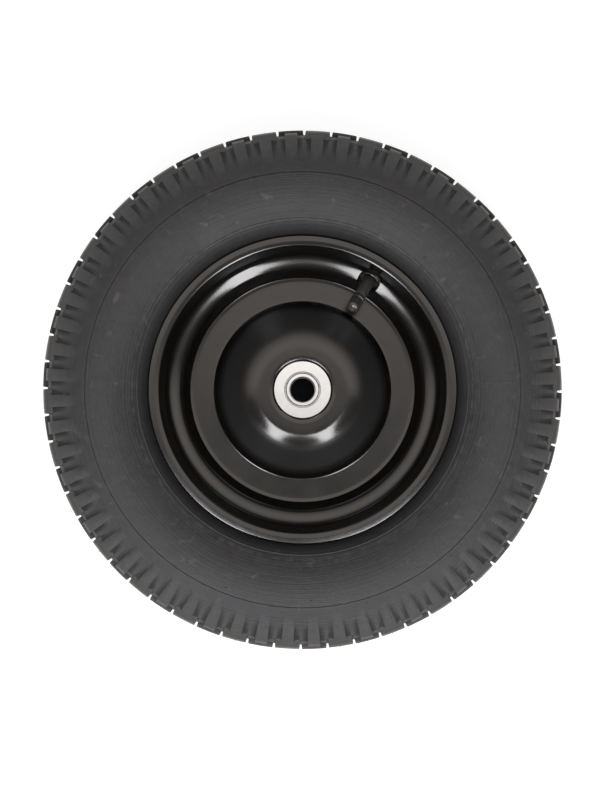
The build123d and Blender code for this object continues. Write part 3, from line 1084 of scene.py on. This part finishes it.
def fluted_cap(settings):
    """The cap: a plain skirt and bead, and a grip whose side waves in and out round the axis."""
    radius = settings.cap_radius / MM
    base, length, bore, bore_end = 18.8, 15.2, 4.15, 28.2
    top = base + length
    skirt = radius - 0.4
    # Each point of the outline has a radius, a height and how deep the flutes are there
    outline = [
        (bore, base, 0.0), (skirt, base, 0.0), (skirt, base + 3.0, 0.0), (radius - 0.05, base + 3.3, 0.0),
        (radius, base + 3.7, 0.0), (radius - 0.03, base + 4.1, 0.0), (radius - 0.3, base + 4.3, 0.0),
    ]
    outline += [(radius - 0.05, base + rise, 1.0) for rise in (4.7, 6, 7.5, 9, 10.5, 11.8)]
    nose, steps = 3.2, 9
    for k in range(1, steps + 1):
        turn = pi / 2 * k / steps
        across = radius - nose + nose * cos(turn) - 0.04
        outline.append((across, top - nose + nose * sin(turn), max(0.0, 1 - k / 5)))
    outline += [(1.0, top, 0.0), (0.0, top, 0.0)]
    outline += [(0.0, bore_end, 0.0), (bore - 0.25, bore_end, 0.0), (bore, bore_end - 0.6, 0.0)]
    count = settings.cap_flutes * 8
    points, faces = turned([(across, up) for across, up, _ in outline], count)
    waved, number = [], 0
    for across, up, depth in outline:
        ring = 1 if across < 1e-6 else count
        for k in range(ring):
            point = points[number]
            wave = max(0.0, cos(settings.cap_flutes * 2 * pi * k / count)) ** 0.7
            shrink = 1 - depth * 0.42 * wave / max(across, 1e-6) if ring > 1 else 1
            waved.append(Vector((point.x * shrink, point.y * shrink, point.z)))
            number += 1
    return waved, faces


class WHEEL_OT_valve(Operator):
    """Build the rubber stem and the fluted cap of the valve, and finish its brass parts"""

    bl_idname = "wheel.valve"
    bl_label = "Valve"

    def execute(self, context):
        settings = context.scene.wheel_fittings
        rubber = moulded("valve_skin", (0.022, 0.0205, 0.019), (0.055, 0.052, 0.048), 0.44, 0.0005)
        plastic = moulded("cap_skin", settings.cap_plastic, (0.07, 0.062, 0.052), 0.16, 0.0004)
        stem = rounded([
            (3.85, -6.5, 0.0), (10.0, -6.5, 0.6), (10.0, -4.5, 0.6), (4.9, -4.5, 0.8), (4.6, 4.0, 2.0),
            (4.55, 16.4, 0.3), (4.45, 16.6, 0.15), (4.45, 17.2, 0.15), (4.6, 17.4, 0.2),
            (4.6, 18.5, 0.5), (3.85, 18.5, 0.1),
        ])
        mesh = build_mesh("valve_rubber", *turned(stem, 64), place=valve_place())
        add_piece("valve_rubber", mesh, rubber, "wheel", "stem_rubber", "rubber_stem")
        mesh = build_mesh("cap_moulding", *fluted_cap(settings), place=valve_place(), sharp=radians(45))
        add_piece("cap_moulding", mesh, plastic, "cap", "cap_plastic", "valve_cap")
        brass = turned_brass(settings)
        for part in ("brass_stem", "valve_core", "valve_pin"):
            dress(part, brass)
        dress("core_seal", moulded("seal_skin", (0.45, 0.06, 0.04), (0.55, 0.14, 0.1), 0.4, 0.0003))
        return {"FINISHED"}


# Stage


def ray_kinds(tree):
    outputs = place(tree, "LightPath").outputs
    return [Value(outputs[f"Is {kind} Ray"]) for kind in ("Camera", "Glossy", "Transmission")]


def world_light(settings):
    """Pale room: white behind the object and in its gloss, darker towards the horizon."""
    world = bpy.data.worlds.new("room")
    bpy.context.scene.world = world
    world.use_nodes = True
    tree = world.node_tree
    tree.nodes.clear()
    camera, glossy, transmission = ray_kinds(tree)
    x, y, z = parts_of(read(tree, "TexCoord", "Generated"))
    far_wall = (y + abs(x) * 0.12).ranged(-0.06, 0.08, 0.52, 2.05)
    gloss = glossy * (far_wall * z.ranged(0.1, 0.9, 0.08, 1.0))
    seen = camera.maximum(transmission)
    lit = (1.0 - seen.maximum(glossy)) * settings.room_light
    warm = mixed(glossy, WHITE, (1.0, 0.93, 0.87))
    backdrop = place(tree, "Background", {"Color": warm, "Strength": gloss + seen + lit})
    output = place(tree, "OutputWorld")
    tree.links.new(backdrop.outputs[0], output.inputs["Surface"])


def floor_finish():
    """White where the camera sees it or a gloss shows it, but for the shadow; darker under the bore as
    painted shade.
    """
    finish, shader, position = begin_finish(
        "pale_floor", Roughness=1.0, Specular_IOR_Level=0.0, Emission_Color=opaque(WHITE),
    )
    camera, glossy, transmission = ray_kinds(position.tree)
    seen = camera.maximum(glossy).maximum(transmission)
    radius = from_axis(position)
    give(shader["Emission Strength"], seen * radius.ranged(0.14, 0.19, 0.0, 0.8))
    # Painted shade: the floor's colour is darker under the bore, where the wheel shades it
    give(shader["Base Color"], mixed(radius.ranged(0.02, 0.03), (0.22, 0.22, 0.22), (0.5, 0.5, 0.5)))
    return finish


def strip_lamp(name, azimuth, power, shines):
    """A soft strip that points at the wheel, either as its gloss shows it or as it lights the rest."""
    # The two strips of a pair stand one behind the other, or else they would hide each other
    tilt, distance = radians(40.5), 1.35 if shines else 1.45
    lamp = bpy.data.lights.new(name, "AREA")
    lamp.shape, lamp.size, lamp.size_y, lamp.energy = "RECTANGLE", 0.29, 1.26, power
    lamp.color = (1.0, 0.985, 1.0)
    piece = bpy.data.objects.new(name, lamp)
    bpy.context.collection.objects.link(piece)
    out = around(sin(tilt), azimuth, cos(tilt))
    piece.matrix_world = framed(azimuth, out, out * distance)
    piece.visible_glossy, piece.visible_diffuse = shines, not shines


class WHEEL_OT_stage(Operator):
    """Set the camera, the lamps and the pale floor"""

    bl_idname = "wheel.stage"
    bl_label = "Stage"

    def execute(self, context):
        settings = context.scene.wheel_stage
        scene = context.scene
        camera = bpy.data.objects.new("camera", bpy.data.cameras.new("camera"))
        scene.collection.objects.link(camera)
        camera.location = (-0.0019, -0.0078, settings.camera_height)
        camera.data.lens, camera.data.sensor_width = settings.lens, 36
        camera.data.clip_end = 20
        scene.camera = camera
        scene.view_settings.view_transform = "Standard"

        world_light(settings)
        for side, azimuth in STRIPS.items():
            strip_lamp(f"strip_{side}", azimuth, settings.softbox_power, False)
            strip_lamp(f"shine_{side}", azimuth, settings.softbox_shine, True)

        # The floor is a disc just under the wheel
        count, reach = 48, 6000
        points = [Vector()] + [around(reach, 2 * pi * k / count) for k in range(count)]
        faces = [[0, 1 + k, 1 + (k + 1) % count] for k in range(count)]
        down = Matrix.Translation((0, 0, cad_low.z - 0.0002))
        floor = bpy.data.objects.new("floor", build_mesh("floor", points, faces, place=down))
        floor.data.materials.append(floor_finish())
        scene.collection.objects.link(floor)
        return {"FINISHED"}


class WHEEL_PT_pieces(Panel):
    """Lists the wheel's settings and the operators that build it"""

    bl_idname = "WHEEL_PT_pieces"
    bl_label = "Pneumatic wheel"
    bl_space_type = "VIEW_3D"
    bl_region_type = "UI"
    bl_category = "Wheel"

    def draw(self, context):
        for group in ("wheel_tyre", "wheel_rim", "wheel_fittings", "wheel_stage"):
            settings = getattr(context.scene, group)
            column = self.layout.column(align=True)
            for name in settings.__annotations__:
                column.prop(settings, name)
        for operator in OPERATORS:
            self.layout.operator(operator.bl_idname)


SETTINGS = {
    "wheel_tyre": TyreSettings,
    "wheel_rim": RimSettings,
    "wheel_fittings": FittingSettings,
    "wheel_stage": StageSettings,
}
OPERATORS = (WHEEL_OT_tyre, WHEEL_OT_rim, WHEEL_OT_bearings, WHEEL_OT_valve, WHEEL_OT_stage)


def register():
    for settings in SETTINGS.values():
        bpy.utils.register_class(settings)
    for name, settings in SETTINGS.items():
        setattr(bpy.types.Scene, name, PointerProperty(type=settings))
    for operator in OPERATORS:
        bpy.utils.register_class(operator)
    bpy.utils.register_class(WHEEL_PT_pieces)


def unregister():
    bpy.utils.unregister_class(WHEEL_PT_pieces)
    for operator in reversed(OPERATORS):
        bpy.utils.unregister_class(operator)
    for name in SETTINGS:
        delattr(bpy.types.Scene, name)
    for settings in reversed(SETTINGS.values()):
        bpy.utils.unregister_class(settings)


def main():
    register()
    make_effects()
    bpy.ops.wheel.tyre()
    bpy.ops.wheel.rim()
    bpy.ops.wheel.bearings()
    bpy.ops.wheel.valve()
    bpy.ops.wheel.stage()


if __name__ == "__main__":
    main()
